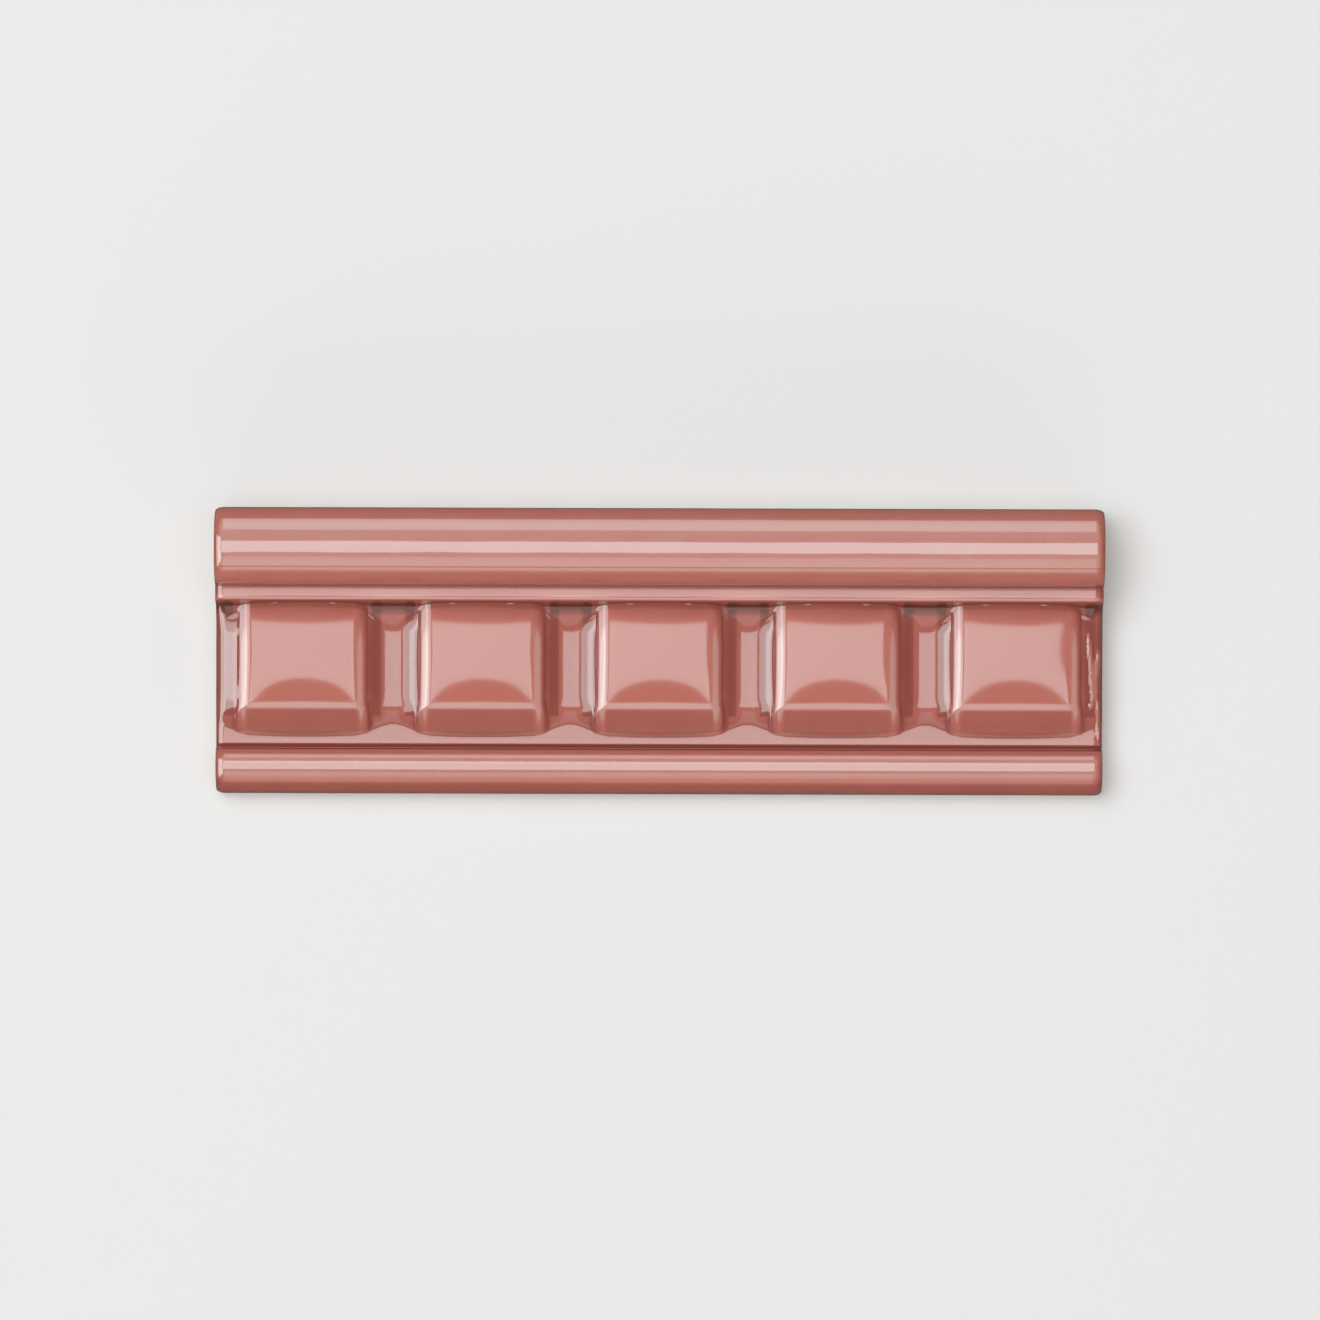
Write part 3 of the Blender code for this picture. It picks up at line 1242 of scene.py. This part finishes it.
        # Painted highlight: the drips are lightened as well as thinned.
        return depth - flow.drip_thin_and_highlight * flow.dripped(along, across)

    def mark_glaze_and_shade(self, mesh: bpy.types.Mesh) -> None:
        """Store the glaze's depth, with its painted light and shade, at each point of the tile.

        Args:
            mesh: The tile's mesh.
        """
        flow = self.flow
        reach = [side / 2 + flow.margin for side in (self.length, self.width)]
        x, y = (np.arange(-end, end, flow.raster) for end in reach)
        place = read_points(mesh, "co")
        column = np.clip(np.round((place[:, 0] - x[0]) / flow.raster).astype(int), 0, len(x) - 1)
        row = np.clip(np.round((place[:, 1] - y[0]) / flow.raster).astype(int), 0, len(y) - 1)
        upright = read_points(mesh, "normal")[:, 2]
        depth = flow.shaded_on_slopes(self.glaze_and_shade_raster(x, y)[column, row], upright)
        attribute = mesh.attributes.new(GLAZE_DEPTH_AND_SHADE, "FLOAT", "POINT")
        attribute.data.foreach_set("value", depth.astype(np.float32))

    def build(self, finish: TileFinish) -> bpy.types.Object:
        """Make the tile.

        Args:
            finish: Its glaze and biscuit.

        Returns:
            The finished piece.
        """
        bm = self.sheet()
        self.shape(bm)
        back = self.close(bm)
        for face in back:
            face.material_index = 1
        # The extrusions list their faces in no fixed order, so the faces are sorted by place.
        by_place = sorted(bm.faces, key=lambda face: tuple(face.calc_center_median()))
        for index, face in enumerate(by_place):
            face.index = index
        bm.faces.sort()
        mesh = bpy.data.meshes.new("glazed_moulding_tile")
        bm.to_mesh(mesh)
        bm.free()
        mesh.materials.append(finish.glazed())
        mesh.materials.append(finish.bare())
        mesh.shade_smooth()
        self.mark_glaze_and_shade(mesh)
        piece = bpy.data.objects.new("glazed_moulding_tile", mesh)
        bpy.context.scene.collection.objects.link(piece)
        return piece


class Use(Enum):
    """What a panel is hung for."""

    LIGHT = "lights the set"
    SHEEN = "shows in the glaze"
    LIGHT_AND_SHEEN = "does both"


@dataclass(frozen=True)
class Panel:
    """A flat soft light that faces the tile.

    Attributes:
        name: What the panel is called.
        turn: Its turn about +Z from the head side, in degrees.
        low: Angle from the vertical to its near edge, in degrees.
        high: Angle from the vertical to its far edge.
        spread: Half the angle that it fills the other way.
        radiance: How bright it is.
        distance: How far it is from the tile.
        use: What it is hung for.
    """

    name: str
    turn: float
    low: float
    high: float
    spread: float
    radiance: float
    distance: float = 1.6
    use: Use = Use.LIGHT_AND_SHEEN

    def build(self) -> bpy.types.Object:
        """Hang the panel.

        Returns:
            The light.
        """
        middle = math.radians((self.low + self.high) / 2)
        tall = 2 * self.distance * math.tan(math.radians(self.high - self.low) / 2)
        wide = 2 * self.distance * math.tan(math.radians(self.spread))
        data = bpy.data.lights.new(self.name, "AREA")
        data.shape = "RECTANGLE"
        data.size = wide
        data.size_y = tall
        data.energy = self.radiance * math.pi * wide * tall
        light = bpy.data.objects.new(self.name, data)
        turn = Matrix.Rotation(math.radians(self.turn), 4, "Z")
        lean = Matrix.Rotation(-middle, 4, "X")
        light.matrix_world = turn @ lean @ Matrix.Translation((0.0, 0.0, self.distance))
        light.visible_camera = False
        light.visible_diffuse = self.use is not Use.SHEEN
        light.visible_glossy = self.use is not Use.LIGHT
        bpy.context.scene.collection.objects.link(light)
        return light


@dataclass
class Studio:
    """A plain pale floor, soft panels and a camera that looks straight down."""

    frame_width: float = 225.4 * MM
    camera_height: float = 1.7
    tile_in_frame: tuple[float, float] = (659.25, 651.5)
    tile_turn: float = math.radians(0.172)
    focus_height: float = 15.0 * MM
    floor_colour: tuple[float, float, float] = (0.80, 0.795, 0.78)
    floor_half: float = 4.0
    floor_roughness: float = 0.9
    floor_specular: float = 0.1
    sensor_width: float = 36.0
    room: float = 0.14
    backdrop: float = 1.17
    shoulder: float = 0.35
    brightest: float = 3.0
    tone_steps: int = 9
    combined_curve: int = 3
    panels: tuple[Panel, ...] = (
        Panel("overhead_panel", 90.0, -21.5, 26.0, 13.4, 4.75, 2.2, Use.LIGHT_AND_SHEEN),
        Panel("key_panel", 50.0, 3.0, 33.0, 16.0, 7.9, 1.8, Use.LIGHT),
        Panel("fill_panel", 185.0, 55.0, 85.0, 40.0, 1.6, 1.6, Use.LIGHT),
        Panel("head_panel", 0.0, 42.0, 78.0, 14.0, 2.3, 1.6, Use.SHEEN),
        Panel("foot_panel", 180.0, 25.0, 70.0, 14.0, 1.05, 1.6, Use.SHEEN),
        Panel("left_soft_panel", 98.0, 32.0, 47.5, 25.0, 5.2, 1.6, Use.SHEEN),
        Panel("left_core_panel", 98.0, 48.0, 62.0, 25.0, 9.8, 1.6, Use.SHEEN),
        Panel("left_panel", 98.0, 62.5, 89.0, 25.0, 6.6, 1.6, Use.SHEEN),
    )

    def floor(self) -> bpy.types.Object:
        """Lay the floor.

        Returns:
            The floor.
        """
        bm = bmesh.new()
        bmesh.ops.create_grid(bm, x_segments=1, y_segments=1, size=self.floor_half)
        mesh = bpy.data.meshes.new("floor")
        bm.to_mesh(mesh)
        bm.free()
        material = bpy.data.materials.new("pale_floor")
        material.use_nodes = True
        shader = material.node_tree.nodes["Principled BSDF"]
        shader.inputs["Base Color"].default_value = opaque(self.floor_colour)
        shader.inputs["Roughness"].default_value = self.floor_roughness
        shader.inputs["Specular IOR Level"].default_value = self.floor_specular
        mesh.materials.append(material)
        floor = bpy.data.objects.new("floor", mesh)
        bpy.context.scene.collection.objects.link(floor)
        floor.visible_glossy = False
        return floor

    def camera(self) -> bpy.types.Object:
        """Hang the camera over the tile, a little off its middle as in the photograph.

        Returns:
            The camera.
        """
        data = bpy.data.cameras.new("camera")
        data.sensor_width = self.sensor_width
        data.lens = data.sensor_width * (self.camera_height - self.focus_height) / self.frame_width
        camera = bpy.data.objects.new("camera", data)
        pixel = self.frame_width / PHOTO_PIXELS
        off_x = (PHOTO_PIXELS / 2 - self.tile_in_frame[0]) * pixel
        off_y = (self.tile_in_frame[1] - PHOTO_PIXELS / 2) * pixel
        camera.location = (off_x, off_y, self.camera_height)
        camera.rotation_euler = Euler((0.0, 0.0, self.tile_turn))
        bpy.context.scene.collection.objects.link(camera)
        bpy.context.scene.camera = camera
        return camera

    def world(self) -> None:
        """Fill the room with dim light, behind a backdrop as pale as the floor."""
        world = bpy.data.worlds.new("room")
        world.use_nodes = True
        nodes = Nodes(world.node_tree)
        background = world.node_tree.nodes["Background"]
        seen = nodes.add("ShaderNodeLightPath").outputs["Is Camera Ray"]
        strength = nodes.math("ADD", nodes.math("MULTIPLY", seen, self.backdrop - self.room), self.room)
        nodes.feed(background, "Strength", strength)
        background.inputs["Color"].default_value = (1.0, 1.0, 1.0, 1.0)
        bpy.context.scene.world = world

    def film(self) -> None:
        """Give the picture a soft shoulder, as a camera's film does."""
        view = bpy.context.scene.view_settings
        view.view_transform = "Standard"
        view.use_curve_mapping = True
        mapping = view.curve_mapping
        mapping.white_level = (self.brightest, self.brightest, self.brightest)
        tone = mapping.curves[self.combined_curve]
        for step in range(1, self.tone_steps):
            light = self.brightest * (step / self.tone_steps) ** 2
            tone.points.new(light / self.brightest, light / (1 + self.shoulder * light))
        tone.points[-1].location = (1.0, self.brightest / (1 + self.shoulder * self.brightest))
        mapping.update()

    def build(self) -> None:
        """Set the studio up."""
        self.floor()
        self.camera()
        self.world()
        self.film()
        for panel in self.panels:
            panel.build()


def main() -> None:
    """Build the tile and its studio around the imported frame."""
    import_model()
    low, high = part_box("moulding_tile")
    size = high - low
    tile = MouldingTile(size.x, size.y, size.z)
    piece = tile.build(TileFinish(Glaze(), Biscuit()))
    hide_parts("moulding_tile")
    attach(piece, "root")
    log.info("built %s with %d faces", piece.name, len(piece.data.polygons))
    Studio().build()
    log.info("built the studio")


if __name__ == "__main__":
    logging.basicConfig(level=logging.INFO, format="%(name)s: %(message)s")
    main()
